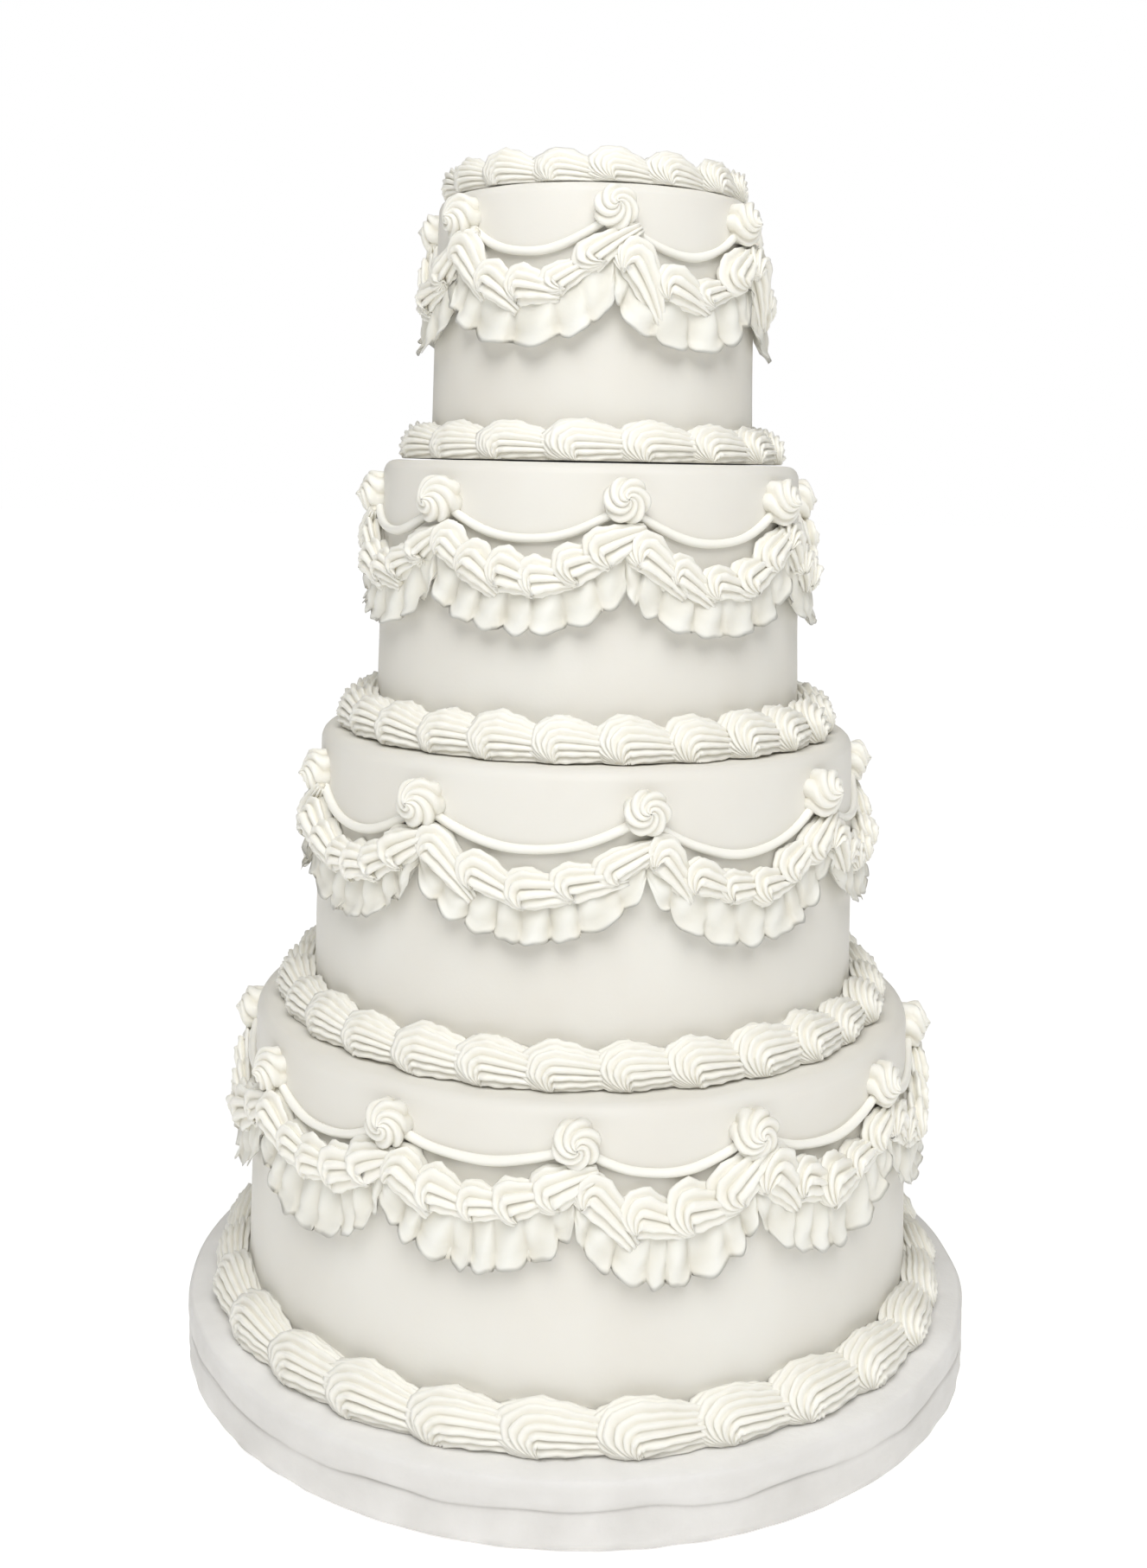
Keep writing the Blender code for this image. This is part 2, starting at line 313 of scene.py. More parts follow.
def board_grid(rng):
    """Rings from the underside, up the creased side, over the edge and across the top.

    The second result is the painted shade at each point: full underneath, less up the side, more in the
    seam, none on the top."""
    radius = widest("board") - BOARD_INSET
    top = highest("board")
    angles = np.arange(BOARD_COLUMNS) * 360 / BOARD_COLUMNS
    flat = 0 * angles
    seam = SEAM_BELOW_TOP + SEAM_WANDER * wander(angles, rng, 9, 2, 26)
    seam_depth = SEAM_DEEP * (0.75 + 0.25 * wander(angles, rng, 6, 2, 20))
    crease = BOARD_CREASE * wander(angles, rng, 12, 8, 70)
    edge = EDGE_WANDER * wander(angles, rng, 8, 3, 24)
    rings = [(radius - 6 * MM, flat, 1.0), (radius - BOARD_ROUND, flat, 1.0)]
    for height in LOW_SIDE:
        crease = 0.5 * crease + 0.85 * BOARD_CREASE * wander(angles, rng, 10, 8, 70)
        rings.append((radius + crease, height + 0.4 * crease, LOW_SIDE_SHADE))
    # Painted shade: the seam is darker where it is deeper.
    for share, depth in SEAM_PROFILE:
        rings.append((radius + 0.6 * crease - seam_depth * depth, top - seam + share * SEAM_WIDE,
                      LOW_SIDE_SHADE + 0.2 * depth))
    for height in HIGH_SIDE:
        crease = 0.55 * crease + 0.6 * BOARD_CREASE * wander(angles, rng, 8, 4, 36)
        rings.append((radius + 0.6 * crease + edge, top - height + flat, HIGH_SIDE_SHADE))
    for turn in (0, 30, 60, 90):
        away = BOARD_ROUND * (1 - math.cos(math.radians(turn)))
        under = BOARD_ROUND * (1 - math.sin(math.radians(turn)))
        rings.append((radius + edge - away, top - under - BOARD_TOP_BELOW + flat,
                      EDGE_SHADE * (1 - turn / 90)))
    for share in (0.93, 0.85, 0.6, 0.02):
        rings.append((radius * share, top - BOARD_TOP_BELOW + TOP_WANDER * wander(angles, rng, 4), 0.0))
    painted_shade = np.stack([np.full(BOARD_COLUMNS, amount) for _, _, amount in rings])
    return np.stack([cylinder(reach, angles, height) for reach, height, _ in rings]), painted_shade


board_points, board_painted_shade = board_grid(np.random.default_rng(3))
# The board's painted shade goes into the groove attribute, which the paste reads.
board = skin("drum_board", board_points[None], board_paste, groove=board_painted_shade[None])
dress(board, "board_cover", "board")

# %% [markdown]
# ## The tiers
#
# A scraper held against a turntable leaves the walls nearly true. They still drift a little, and the
# top edge is softly rounded where the icing was folded over and stroked down.

# %% Smooth the tiers
TIER_COLUMNS = 240
EDGE_ROUND = 5 * MM
WALL_INSET = 0.25 * MM
WALL_DRIFT = 0.25 * MM
RING_DRIFT = 0.12 * MM
TOP_LIFT = 0.25 * MM


def wall_radius(tier, height):
    """The radius of a tier's wall at a height."""
    return tier["foot_radius"] - WALL_LEAN * (height - tier["foot"])


def tier_grid(tier, rng):
    """Rings up the wall, over the rounded edge and across the top."""
    angles = np.arange(TIER_COLUMNS) * 360 / TIER_COLUMNS
    foot, top = tier["foot"], tier["top"]
    rings = []
    drift = WALL_DRIFT * wander(angles, rng, 4, 1, 6)
    for share in np.linspace(0, 1, 9):
        height = foot + share * (top - EDGE_ROUND - foot)
        drift = 0.7 * drift + RING_DRIFT * wander(angles, rng, 4, 1, 7)
        rings.append((wall_radius(tier, height) - WALL_INSET + drift, height + 0 * angles))
    rim = wall_radius(tier, top) - WALL_INSET + drift
    lift = TOP_LIFT * wander(angles, rng, 4, 1, 8)
    for turn in (15, 35, 55, 75, 90):
        away = EDGE_ROUND * (1 - math.cos(math.radians(turn)))
        under = EDGE_ROUND * (1 - math.sin(math.radians(turn)))
        rings.append((rim - away, top - under - WALL_INSET + lift * turn / 90))
    for share in (0.9, 0.7, 0.4, 0.02):
        rings.append((wall_radius(tier, top) * share, top - WALL_INSET + 0.3 * lift))
    return np.stack([cylinder(reach, angles, height) for reach, height in rings])


rng = np.random.default_rng(11)
for tier in tiers:
    wall = skin(f"{tier['name']}_smoothed", tier_grid(tier, rng)[None], smoothed_buttercream)
    dress(wall, "smoothed_icing", tier["name"])

# %% [markdown]
# ## How a shell is piped
#
# The nozzle starts low at the front, squeezes out a fat head that swells back and up, then eases off and
# pulls along to a tail. Every tooth of the nozzle draws one ridge, so all the ridges start at one
# small pole, fan over the head and run together in the tail. The next head covers that tail.
#
# The head is a ball sliced by planes that tip over as they go, from facing the pole to facing along the
# row. The tail is a tube that carries on from the last slice and narrows.

# %% Shape one shell
TOOTH_SHAPE = 0.8
RIDGE_WAVER = 0.045
WAVER_PER_SLICE = 1.9
# The slices in the head and in the tail.
SLICES = (11, 9)
# The angle of the head's first slice from the pole, and of its last.
HEAD_OPENING = (7, 90)
# The tail sinks towards the wall as it narrows.
TAIL_SINK = 0.15


def unit(vector):
    """The same direction with length 1."""
    vector = np.asarray(vector, dtype=float)
    return vector / np.linalg.norm(vector)


def shell(ridges, detail, ridge_depth, tail_length, tail_size, pole, droop, twist, rng):
    """One shell of unit size: its head is a ball of radius 1 at the origin, its tail runs along +X.

    Y points out from the cake and Z up. detail is the points across one ridge.
    The result is the points and how deep each lies in a groove."""
    columns = ridges * detail
    turn = np.arange(columns) * 2 * math.pi / columns
    tooth = np.abs(np.sin(ridges * turn / 2)) ** TOOTH_SHAPE
    phase = rng.uniform(0, 2 * math.pi)
    strength = np.repeat(rng.uniform(0.7, 1.25, ridges), detail)
    relief = ridge_depth * (tooth * strength - 1)
    waver = np.repeat(rng.uniform(0, 2 * math.pi, ridges), detail)
    slices = []

    def ridged(number):
        """The ridges at one slice. Each swells and thins by itself as the hand moves."""
        return (relief + RIDGE_WAVER * tooth * np.sin(waver + WAVER_PER_SLICE * number))[:, None]

    back = np.array((-1.0, 0.0, 0.0))
    pole = unit(pole)
    swing = math.acos(float(np.clip(pole @ back, -1, 1)))
    axle = unit(np.cross(pole, back))
    side = unit(np.cross(axle, pole))
    for opening in np.linspace(*HEAD_OPENING, SLICES[0]):
        tip = swing * opening / 90
        facing = math.cos(tip) * pole + math.sin(tip) * side
        across = np.cross(axle, facing)
        spin = turn[:, None] + phase
        ring = np.cos(spin) * axle + np.sin(spin) * across
        reach = math.radians(opening)
        ball = math.cos(reach) * facing + math.sin(reach) * ring
        slices.append(ball * (1 + ridged(len(slices)) * math.sin(reach)))
    across = np.cross(axle, back)
    for share in np.linspace(0, 1, SLICES[1] + 1)[1:]:
        size = 1 - (1 - tail_size) * share ** 1.25
        spin = (turn + phase + twist * share)[:, None]
        ring = np.cos(spin) * axle + np.sin(spin) * across
        centre = np.array((tail_length * share, -TAIL_SINK * (1 - size), -droop * share ** 1.5))
        slices.append(centre + ring * size * (1 + ridged(len(slices))))
    points = np.stack(slices)
    # How deep each point lies in a groove; the paste paints shade there.
    groove = np.broadcast_to((1 - tooth) ** 1.3, points.shape[:2])
    return points, groove


# %% [markdown]
# ## The shell borders
#
# A border hides the joint between two tiers. No two shells match: the hand squeezes a little more or
# less, and starts a little early or late, so each one gets its own size, lean and turn.

# %% Pipe the borders
# The shells in the ring, the first one's angle, how far a shell stands out, its height and its tail's size.
FOOT_BORDERS = {
    "border_foot_1": (27, 2.3, 16.5 * MM, 18.5 * MM, 0.62),
    "border_foot_2": (29, 2.1, 16.5 * MM, 18.0 * MM, 0.58),
    "border_foot_3": (25, 2.4, 17.5 * MM, 18.5 * MM, 0.58),
    "border_foot_4": (17, 5.9, 15.5 * MM, 17.5 * MM, 0.55),
}
TOP_SHELLS = 16
TOP_FIRST = -3.4
TOP_REACH = 15 * MM
TOP_HEIGHT = 15.5 * MM
BORDER_RIDGES = 18
BORDER_DETAIL = 4
BORDER_RIDGE_DEPTH = 0.26
FOOT_DROOP = 0.20
TOP_DROOP = 0.42
TOP_TAIL = 0.34
# Shares of the way from one shell to the next: half a head's length, and the tails' lengths.
HEAD_SHARE = 0.56
FOOT_TAIL_SHARE = 0.82
TOP_TAIL_SHARE = 0.86
# A shell of unit size is squashed and raised, so that it starts flat on the wall or floor behind it.
SQUASH = 0.62
RAISE = 0.38
ABOVE_FLOOR = 0.2 * MM
# The way the ridges' pole points, and how much the hand varies that, the size and the start of a shell.
BORDER_POLE = (-0.12, 0.72, -0.68)
POLE_SWAY = 0.15
BORDER_SIZES = (0.93, 1.05)
BORDER_STARTS = (0.45, 0.55)


def border_shells(count, first, tail_length, tail_size, droop, rng):
    """(angle, size, points, groove) for each shell of a ring, with the hand's own unevenness."""
    pitch = 360 / count
    shells = []
    for i in range(count):
        size = rng.uniform(*BORDER_SIZES)
        pole = (BORDER_POLE[0] + rng.uniform(-POLE_SWAY, POLE_SWAY), BORDER_POLE[1],
                BORDER_POLE[2] + rng.uniform(-POLE_SWAY, POLE_SWAY))
        points, groove = shell(BORDER_RIDGES, BORDER_DETAIL, BORDER_RIDGE_DEPTH, tail_length,
                               tail_size * rng.uniform(0.85, 1.15), pole, droop + rng.uniform(-0.08, 0.08),
                               rng.uniform(-0.1, 0.25), rng)
        angle = first + pitch * (i + rng.uniform(*BORDER_STARTS))
        shells.append((angle, size, points, groove))
    return shells


def foot_border(name, wall, floor, rng):
    """Shells leaning in the corner between a wall and what it stands on."""
    count, first, reach, height, tail_size = FOOT_BORDERS[name]
    middle_radius = wall + reach * 0.5
    pitch = 2 * math.pi * middle_radius / count
    head_long = HEAD_SHARE * pitch
    grids = []
    grooves = []
    tail_length = FOOT_TAIL_SHARE * pitch / head_long
    for angle, size, points, groove in border_shells(count, first, tail_length, tail_size, FOOT_DROOP, rng):
        along = points[..., 0] * head_long
        out = (points[..., 1] * SQUASH + RAISE) * reach * size
        up = (points[..., 2] * SQUASH + RAISE) * height * size
        lean = 0.12 * np.clip(up / height - 0.35, 0, 1) * reach
        radius = wall + out - lean
        grids.append(cylinder(radius, angle + np.degrees(along / middle_radius),
                              floor + np.maximum(up, ABOVE_FLOOR)))
        grooves.append(groove)
    piece = skin(f"{name}_shells", np.stack(grids), piped_buttercream, groove=np.stack(grooves))
    dress(piece, "piped_icing", name)


def top_border(ring_outer, floor, rng):
    """Shells standing on the top tier, just inside its edge."""
    ring = ring_outer - TOP_REACH * 0.52
    pitch = 2 * math.pi * ring / TOP_SHELLS
    head_long = HEAD_SHARE * pitch
    grids = []
    grooves = []
    tail_length = TOP_TAIL_SHARE * pitch / head_long
    shells = border_shells(TOP_SHELLS, TOP_FIRST, tail_length, TOP_TAIL, TOP_DROOP, rng)
    for angle, size, points, groove in shells:
        along = points[..., 0] * head_long
        radius = ring + points[..., 1] * 0.5 * TOP_REACH * size
        up = (points[..., 2] * SQUASH + RAISE) * TOP_HEIGHT * size
        grids.append(cylinder(radius, angle + np.degrees(along / ring), floor + np.maximum(up, ABOVE_FLOOR)))
        grooves.append(groove)
    piece = skin("border_top_shells", np.stack(grids), piped_buttercream, groove=np.stack(grooves))
    dress(piece, "piped_icing", "border_top")


rng = np.random.default_rng(21)
for number, tier in enumerate(tiers, 1):
    foot_border(f"border_foot_{number}", tier["foot_radius"], tier["foot"], rng)
top_border(widest("border_top"), tiers[-1]["top"], rng)

# %% [markdown]
# ## Swags
#
# Each wall is marked off with pins first, and every line of piping then hangs between the same marks:
# the plain string highest, the garland of shells below it, and the ruffle under the garland.


# %% Hang a curve between two marks
def hang(high, low, across):
    """The depth of a hanging line. across runs from -1 at one mark to 1 at the next."""
    return low - (low - high) * across * across


# How much lower than its tier's usual line each swag hangs, from the first joint on; minus is higher.
# The hand never hits the same depth twice.
SAG = {
    "tier_1": (0, -3 * MM, 1.5 * MM, 0.5 * MM),
    "tier_2": (-2 * MM, 2 * MM),
    "tier_3": (-0.5 * MM, 0.5 * MM),
    "tier_4": (-0.5 * MM, 0.5 * MM),
}


def swags(tier):
    """(start angle, span, sag) of each swag. Swags past the end of the list hang on the usual line."""
    joints = tier["joints"]
    ends = joints[1:] + [joints[0] + 360]
    sags = SAG[tier["name"]] + (0,) * len(joints)
    return [(start, end - start, sag) for start, end, sag in zip(joints, ends, sags)]


# %% [markdown]
# ## Drop strings
#
# A round nozzle touches the wall, pulls away so that the icing sags by itself, and touches down again
# at the next mark. The string is as thick as the nozzle and only varies by the speed of the hand.

# %% Drop the strings
STRING_RADIUS = 1.9 * MM
STRING_SECTIONS = 26
STRING_SIDES = 12
STRING_SHAKE = 0.12 * MM
STRING_OFF_WALL = 0.55


def string_piece(tier, rng):
    """The drop strings of one tier, as one closed ring."""
    sides = np.arange(STRING_SIDES) * 2 * math.pi / STRING_SIDES
    rings = []
    for start, span, sag in swags(tier):
        low = tier["string"] + sag + rng.uniform(-1.2, 1.2) * MM
        thick = 1 + rng.uniform(-0.06, 0.06)
        phase = rng.uniform(0, 2 * math.pi)
        half = math.radians(span) / 2 * tier["foot_radius"]
        for i in range(STRING_SECTIONS):
            across = 2 * i / STRING_SECTIONS - 1
            shake = STRING_SHAKE * math.sin(9 * across + phase)
            depth = hang(tier["rosette"] + 1 * MM, low, across) + shake
            slope = math.atan(2 * (low - tier["rosette"]) * across / half)
            size = STRING_RADIUS * thick * (1 + 0.05 * math.sin(5 * across + phase))
            height = tier["top"] - depth
            along = size * np.sin(sides) * math.sin(-slope)
            up = size * np.sin(sides) * math.cos(slope)
            radius = wall_radius(tier, height) + STRING_OFF_WALL * size + size * np.cos(sides)
            angle = start + span * (across + 1) / 2 + np.degrees(along / tier["foot_radius"])
            rings.append(cylinder(radius, angle, height + up))
    piece = skin(f"{tier['name']}_drop_strings", np.stack(rings)[None], piped_buttercream, ring=True,
                 groove=np.zeros((1, len(rings), STRING_SIDES)))
    dress(piece, "piped_icing", f"{tier['name']}_string")


rng = np.random.default_rng(31)
for tier in tiers:
    string_piece(tier, rng)

# %% [markdown]
# ## Garlands
#
# The same shell, piped smaller along the swag's line, always from left to right. The nozzle has fewer
# teeth, so the ridges are coarse and deep.

# %% Pipe the garlands
GARLAND_HIGH = {"tier_1": 19.5 * MM, "tier_2": 17 * MM, "tier_3": 17 * MM, "tier_4": 17 * MM}
GARLAND_TAIL_LENGTH = 2.3
GARLAND_TAIL_SIZE = 0.36
GARLAND_HEAD_SHARE = 0.50
# A shell leans a little more than the swag's own slope.
GARLAND_LEAN = 1.1
GARLAND_POLE = (0.10, 0.52, -0.82)
GARLAND_REACH = 11 * MM
GARLAND_RIDGES = 9
GARLAND_DETAIL = 6
GARLAND_RIDGE_DEPTH = 0.46
GARLAND_UNDER_MARK = 10.5 * MM
# How far a piped form may sink into the wall behind it.
INTO_WALL = 1 * MM


def garland_piece(tier, rng):
    """The garland of one tier. Each shell is turned to the slope of its swag."""
    tall = GARLAND_HIGH[tier["name"]]
    radius = tier["foot_radius"]
    grids = []
    grooves = []
    for start, span, sag in swags(tier):
        count = rng.choice(GARLAND_SHELLS[tier["name"]])
        half = math.radians(span) / 2 * radius
        high = tier["rosette"] + GARLAND_UNDER_MARK
        low = tier["garland"] + sag - 0.47 * tall - rng.uniform(0.5, 3.5) * MM
        pitch = 2 * half / count
        for i in range(count):
            across = (2 * (i + 0.42 + rng.uniform(-0.06, 0.06)) / count - 1) * 0.97
            slope = math.atan(2 * (low - high) * across / half)
            stretch = pitch / math.cos(slope)
            size = 1 + rng.uniform(-0.14, 0.12)
            lean = GARLAND_LEAN * slope + rng.uniform(-0.22, 0.14) - 0.04
            lift = rng.uniform(-1.2, 1.2) * MM
            pole = (GARLAND_POLE[0] + rng.uniform(-0.2, 0.2), GARLAND_POLE[1],
                    GARLAND_POLE[2] + rng.uniform(-POLE_SWAY, POLE_SWAY))
            points, groove = shell(GARLAND_RIDGES, GARLAND_DETAIL, GARLAND_RIDGE_DEPTH, GARLAND_TAIL_LENGTH,
                                   GARLAND_TAIL_SIZE * rng.uniform(0.8, 1.2), pole, rng.uniform(0.1, 0.4),
                                   rng.uniform(0.1, 0.5), rng)
            head_long = GARLAND_HEAD_SHARE * stretch
            along = points[..., 0] * head_long
            up = points[..., 2] * 0.5 * tall * size
            out = (points[..., 1] * SQUASH + RAISE) * GARLAND_REACH * size
            turned_along = along * math.cos(lean) + up * math.sin(-lean)
            turned_up = along * math.sin(lean) + up * math.cos(lean)
            height = tier["top"] - hang(high, low, across) + turned_up + lift
            angle = start + span * (across + 1) / 2 + np.degrees(turned_along / radius)
            grids.append(cylinder(wall_radius(tier, height) + np.maximum(out, -INTO_WALL), angle, height))
            grooves.append(groove)
    piece = skin(f"{tier['name']}_garland_shells", np.stack(grids), piped_buttercream,
                 groove=np.stack(grooves))
    dress(piece, "piped_icing", f"{tier['name']}_garland")


rng = np.random.default_rng(41)
for tier in tiers:
    garland_piece(tier, rng)

# %% [markdown]
# ## Ruffles
#
# A petal nozzle has a slot, wide at one end and narrow at the other. The wide end rests on the wall and
# the hand jiggles up and down, so the ribbon folds over itself in petals with a thin, wavy lip.

# %% Fold the ruffles
LOBE_SECTIONS = 14
RUFFLE_ROWS = 12
RUFFLE_BACK_ROWS = 3
RUFFLE_SCALLOP = 2.5 * MM
RUFFLE_TOP_OUT = 3.5 * MM
RUFFLE_LIP_OUT = 7.0 * MM
RUFFLE_PUFF = 2.6 * MM
RUFFLE_OVERLAP = 3.6 * MM
RUFFLE_FAN = 0.7
LIP_THICK = 0.9 * MM
DIMPLE = 0.8 * MM
LIP_TUCK = 1.3 * MM
LIP_WAVE = 0.45 * MM
RUFFLE_WEDGE = 2.0 * MM
PETAL_SHAPE = 0.62
# Where the ruffle's upper edge hides: below the rosette at a mark, above the garland's foot in the middle.
UPPER_UNDER_MARK = 15 * MM
UPPER_ABOVE_GARLAND = 9 * MM


def ruffle_piece(tier, rng):
    """The ruffle of one tier, as one closed ring. A section runs down its face and up its back."""
    mark_upper = tier["rosette"] + UPPER_UNDER_MARK
    usual_upper = tier["garland"] - UPPER_ABOVE_GARLAND
    lobes = RUFFLE_LOBES[tier["name"]]
    spans = swags(tier)
    count = lobes * len(spans)
    longer = 1 + rng.uniform(-0.65, 0.65, count)
    prouder = 1 + rng.uniform(-0.35, 0.35, count)
    tucked = rng.uniform(0.1, 1.3, count) * rng.choice((-1, 1, 1), count)
    waved = rng.uniform(0, 2 * math.pi, count)
    dimples = rng.uniform(0, 2 * math.pi, count)
    down = np.concatenate((np.linspace(0, 1, RUFFLE_ROWS), np.linspace(1, 0, RUFFLE_BACK_ROWS + 2)[1:-1]))
    behind = np.concatenate((np.zeros(RUFFLE_ROWS), np.ones(RUFFLE_BACK_ROWS)))
    rings = []
    grooves = []
    for swag, (start, span, sag) in enumerate(spans):
        half = math.radians(span) / 2 * tier["foot_radius"]
        widths = 1 + rng.uniform(-0.38, 0.38, lobes)
        edges = np.concatenate(([0], np.cumsum(widths))) / widths.sum()
        for i in range(lobes * LOBE_SECTIONS):
            across = 2 * np.interp(i / LOBE_SECTIONS, np.arange(lobes + 1), edges) - 1
            upper = hang(mark_upper, usual_upper + sag, across)
            lower = hang(RUFFLE_NOTCH[tier["name"]], tier["ruffle"] + sag, across)
            lobe = swag * lobes + i // LOBE_SECTIONS
            share = (i % LOBE_SECTIONS + 0.5) / LOBE_SECTIONS
            petal = max(1 - (2 * share - 1) ** 2, 0) ** PETAL_SHAPE
            lip = lower - RUFFLE_SCALLOP * longer[lobe] * (1 - petal)
            lip = lip - LIP_WAVE * (1 + math.sin(waved[lobe] + 9 * share))
            ripple = np.sin(dimples[lobe] + 5 * down + 2.5 * across * lobes)
            depth = upper + (lip - upper) * down
            out = RUFFLE_TOP_OUT + (RUFFLE_LIP_OUT - RUFFLE_TOP_OUT) * down ** 1.5
            out = out + RUFFLE_PUFF * prouder[lobe] * (petal - 0.6) * np.sin(math.pi * 0.72 * down) ** 1.6
            out = out + RUFFLE_OVERLAP * tucked[lobe] * (share - 0.5) * down ** 1.3
            out = out + DIMPLE * ripple
            out = out - LIP_TUCK * np.exp(-((down - 0.80) / 0.12) ** 2)
            thick = LIP_THICK + RUFFLE_WEDGE * (1 - down)
            out = np.maximum(out - behind * thick, -INTO_WALL)
            height = tier["top"] - depth
            slope = 2 * (usual_upper - mark_upper) * across / half
            fan = RUFFLE_FAN * slope * (depth - upper) * (1 - across ** 4)
            angle = start + span * (across + 1) / 2 + np.degrees(fan / tier["foot_radius"])
            rings.append(cylinder(wall_radius(tier, height) + out, angle, height))
            # Painted shade: darker in the notches between petals, more so lower down, and in the dimples'
            # hollows; none on the back.
            hollow = 0.35 * (0.5 - 0.5 * ripple)
            grooves.append(((1 - petal) ** 1.3 * down + hollow) * (1 - behind))
    piece = skin(f"{tier['name']}_petal_ruffle", np.stack(rings)[None], petal_buttercream, ring=True,
                 groove=np.stack(grooves)[None])
    dress(piece, "piped_icing", f"{tier['name']}_ruffle")


rng = np.random.default_rng(51)
for tier in tiers:
    ruffle_piece(tier, rng)

# %% [markdown]
# ## Rosettes
#
# A star nozzle held straight at the wall turns once round its own middle and lifts away. The ridges wind
# inwards, and the last of the paste breaks off in a small peak, rarely in the exact middle.

# %% Swirl the rosettes
ROSETTE_RADIUS = 10.2 * MM
ROSETTE_TALL = 8.5 * MM
ROSETTE_RIDGES = 6
ROSETTE_RINGS = 15
ROSETTE_WIND = 3.0
ROSETTE_CUT = 0.20
ROSETTE_GROOVE = 1.9 * MM
ROSETTE_OFF_WALL = 2.0 * MM
ROSETTE_ROOT = 4.5 * MM
POINTS_PER_RIDGE = 8
# Shares of the way from the rim to the middle: where the rim ends, and where the peak starts.
RIM_SHARE = 0.18
PEAK_SHARE = 0.82
PEAK_TALL = 1.6 * MM


def rosette_grid(tier, joint, depth, rng):
    """One swirl, from its rim to its peak."""
    columns = ROSETTE_RIDGES * POINTS_PER_RIDGE
    turn = np.arange(columns) * 2 * math.pi / columns
    tooth = np.abs(np.cos(ROSETTE_RIDGES * turn / 2)) ** TOOTH_SHAPE
    facing = math.radians(joint)
    base = wall_radius(tier, tier["top"] - depth) + ROSETTE_OFF_WALL
    size = 1 + rng.uniform(-0.06, 0.06)
    start = rng.uniform(0, 2 * math.pi)
    drift = rng.uniform(-1.3, 1.3, 2) * MM
    rings = []
    grooves = []
    for share in np.linspace(0, 1, ROSETTE_RINGS):
        inward = min(share / RIM_SHARE, 1.0)
        rim = 1 - 0.07 * (1 - inward)
        radius = ROSETTE_RADIUS * size * rim * (1 - max(share - RIM_SHARE, 0) / (1 - RIM_SHARE) * 0.97)
        dome = math.sin(math.pi / 2 * max(share - 0.1, 0) / 0.9)
        lift = ROSETTE_TALL * size * (0.42 * inward + 0.58 * dome)
        peak = PEAK_TALL * max(share - PEAK_SHARE, 0) / (1 - PEAK_SHARE)
        wound = turn + ROSETTE_WIND * share ** 1.3 + start
        fade = 1 - 0.5 * share
        reach = radius * (1 - ROSETTE_CUT * (1 - tooth) * fade)
        side = reach * np.cos(wound) + drift[0] * share
        up = reach * np.sin(wound) + drift[1] * share
        out = base + (lift + peak - ROSETTE_GROOVE * (1 - tooth) * fade * inward)
        x = out * math.sin(facing) + side * math.cos(facing)
        y = -out * math.cos(facing) + side * math.sin(facing)
        rings.append(np.stack((x, y, tier["top"] - depth + up), axis=-1))
        # Painted shade in the grooves, fading towards the middle.
        grooves.append((1 - tooth) ** 1.2 * fade)
    foot = rings[0].copy()
    foot[:, 0] -= ROSETTE_ROOT * math.sin(facing)
    foot[:, 1] += ROSETTE_ROOT * math.cos(facing)
    return np.stack([foot] + rings), np.stack([grooves[0]] + grooves)


rng = np.random.default_rng(61)
for tier in tiers:
    made = [rosette_grid(tier, joint, tier["top"] - middle(node)[2], rng)
            for joint, node in zip(tier["joints"], tier["rosettes"])]
    piece = skin(f"{tier['name']}_rosettes", np.stack([grid for grid, _ in made]), piped_buttercream,
                 groove=np.stack([groove for _, groove in made]))
    dress(piece, "piped_icing", *tier["rosettes"])

# %% [markdown]
# ## Floor, camera and light
#
# The cake is shown against white, seen from a little above the third tier, close enough that the lower
# tiers are looked down on. A broad soft light stands in front and above, and a panel nearer the top lifts
# the upper tiers. The room adds a dimmer, even light, so the walls fade where they turn away.

# %% Set the stage
FLOOR_REACH = 12.0
FLOOR_GRAINS_PER_METRE = 300.0
FLOOR_GLOW = 0.40
ROOM_SEEN = 1.0
ROOM_ON_CAKE = 0.18
# In degrees: how wide the sun is in the sky, how far right of the front it stands, and how high.
SUN_WIDE = 56
SUN_RIGHT = 2
SUN_UP = 55
SUN_STRENGTH = 1.92
PANEL_WATTS = 2.2
PANEL_SIDE = 0.5
PANEL_PLACE = (0.0, -0.7, 1.0)
# A panel with no tilt faces down.
PANEL_TILT = 50


def soft_floor(reach):
    """A pale matte floor, large enough to have no edge in view."""
    mesh = bpy.data.meshes.new("floor")
    mesh.from_pydata([(-reach, -reach, 0), (reach, -reach, 0), (reach, reach, 0), (-reach, reach, 0)],
                     [], [(0, 1, 2, 3)])
    material = bpy.data.materials.new("matte_white_paper")
    material.use_nodes = True
    tree = material.node_tree
    shader = tree.nodes["Principled BSDF"]
    place = add_node(tree, "ShaderNodeTexCoord", {}).outputs["Object"]
    grain = add_node(tree, "ShaderNodeTexNoise", {"Vector": place, "Scale": FLOOR_GRAINS_PER_METRE})
    tint = add_node(tree, "ShaderNodeMix", {"Factor": grain.outputs["Fac"], "A": linear("FFFFFF"),
                                            "B": linear("FCFCFC")}, data_type="RGBA")
    tree.links.new(tint.outputs["Result"], shader.inputs["Base Color"])
    shader.inputs["Roughness"].default_value = 0.9
    shader.inputs["Specular IOR Level"].default_value = 0.1
    shader.inputs["Emission Color"].default_value = linear("FFFFFF")
    shader.inputs["Emission Strength"].default_value = FLOOR_GLOW
    mesh.materials.append(material)
    floor = bpy.data.objects.new("floor", mesh)
    bpy.context.scene.collection.objects.link(floor)


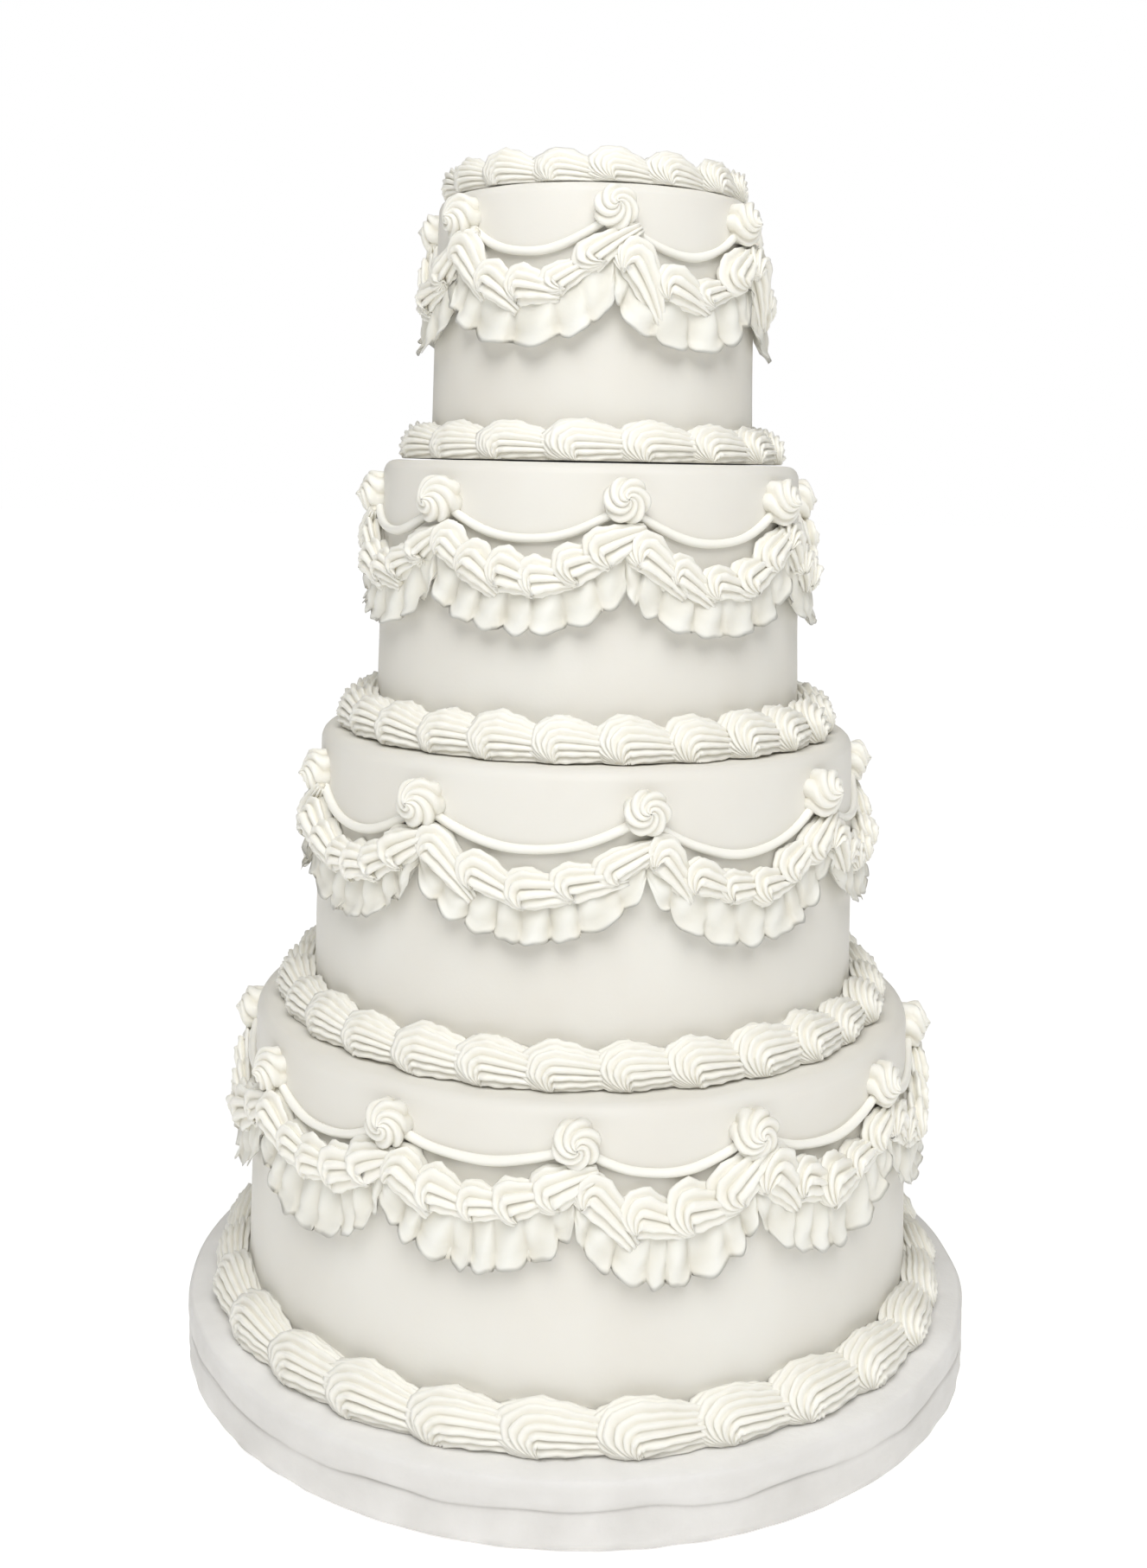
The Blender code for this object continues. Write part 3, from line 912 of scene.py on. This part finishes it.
def white_room(to_camera, on_cake):
    """The room is seen as white, and lights the cake more dimly."""
    world = bpy.data.worlds.new("white_room")
    world.use_nodes = True
    tree = world.node_tree
    tree.nodes.clear()
    seen = add_node(tree, "ShaderNodeBackground", {"Color": linear("FFFFFF"), "Strength": to_camera})
    cast = add_node(tree, "ShaderNodeBackground", {"Color": linear("FDFBF2"), "Strength": on_cake})
    ray = add_node(tree, "ShaderNodeLightPath", {})
    both = add_node(tree, "ShaderNodeMixShader", {0: ray.outputs["Is Camera Ray"], 1: cast.outputs[0],
                                                  2: seen.outputs[0]})
    add_node(tree, "ShaderNodeOutputWorld", {"Surface": both.outputs[0]})
    bpy.context.scene.world = world


def hang_lamp(name, kind, energy, colour, place):
    """A lamp of one kind at a place, which is a matrix. Gives back its settings."""
    light = bpy.data.lights.new(name, kind)
    light.energy = energy
    light.color = linear(colour)[:3]
    lamp = bpy.data.objects.new(name, light)
    lamp.matrix_world = place
    bpy.context.scene.collection.objects.link(lamp)
    return light


def turned(degrees, axis):
    """A turn about one axis, as a matrix."""
    return Matrix.Rotation(math.radians(degrees), 4, axis)


soft_floor(FLOOR_REACH)
white_room(ROOM_SEEN, ROOM_ON_CAKE)
# Broad, even light from the front.
softbox = hang_lamp("front_softbox", "SUN", SUN_STRENGTH, "FEFEFF",
                    turned(SUN_RIGHT, "Z") @ turned(90 - SUN_UP, "X"))
softbox.angle = math.radians(SUN_WIDE)
# A square panel close by, so the top tier is lit more than the foot.
panel = hang_lamp("top_panel", "AREA", PANEL_WATTS, "FFFFFF",
                  Matrix.Translation(PANEL_PLACE) @ turned(PANEL_TILT, "X"))
panel.size = PANEL_SIDE
bpy.context.scene.view_settings.view_transform = "Standard"
print("room, floor,", softbox.name, "and", panel.name)

# %% Stand the camera where the photograph was taken
PHOTO_WIDE = 1327
PHOTO_TALL = 1814
EYE_DISTANCE = 0.7538
EYE_HEIGHT = 0.3945
PITCH_DOWN = 3.44
ROLL = 1.08
FOCAL_PIXELS = 1904.6
AXIS_PIXEL = (682.3, 657.1)
SENSOR = 36

lens = bpy.data.cameras.new("camera")
lens.sensor_width = SENSOR
lens.lens = SENSOR * FOCAL_PIXELS / PHOTO_TALL
lens.shift_x = (PHOTO_WIDE / 2 - AXIS_PIXEL[0]) / PHOTO_TALL
lens.shift_y = (AXIS_PIXEL[1] - PHOTO_TALL / 2) / PHOTO_TALL
lens.clip_start = 0.02
camera = bpy.data.objects.new("camera", lens)
camera.matrix_world = (Matrix.Translation((0, -EYE_DISTANCE, EYE_HEIGHT))
                       @ turned(90 - PITCH_DOWN, "X") @ turned(ROLL, "Z"))
bpy.context.scene.collection.objects.link(camera)
bpy.context.scene.camera = camera
print("lens", round(lens.lens, 1), "mm, shift", round(lens.shift_x, 3), round(lens.shift_y, 3))
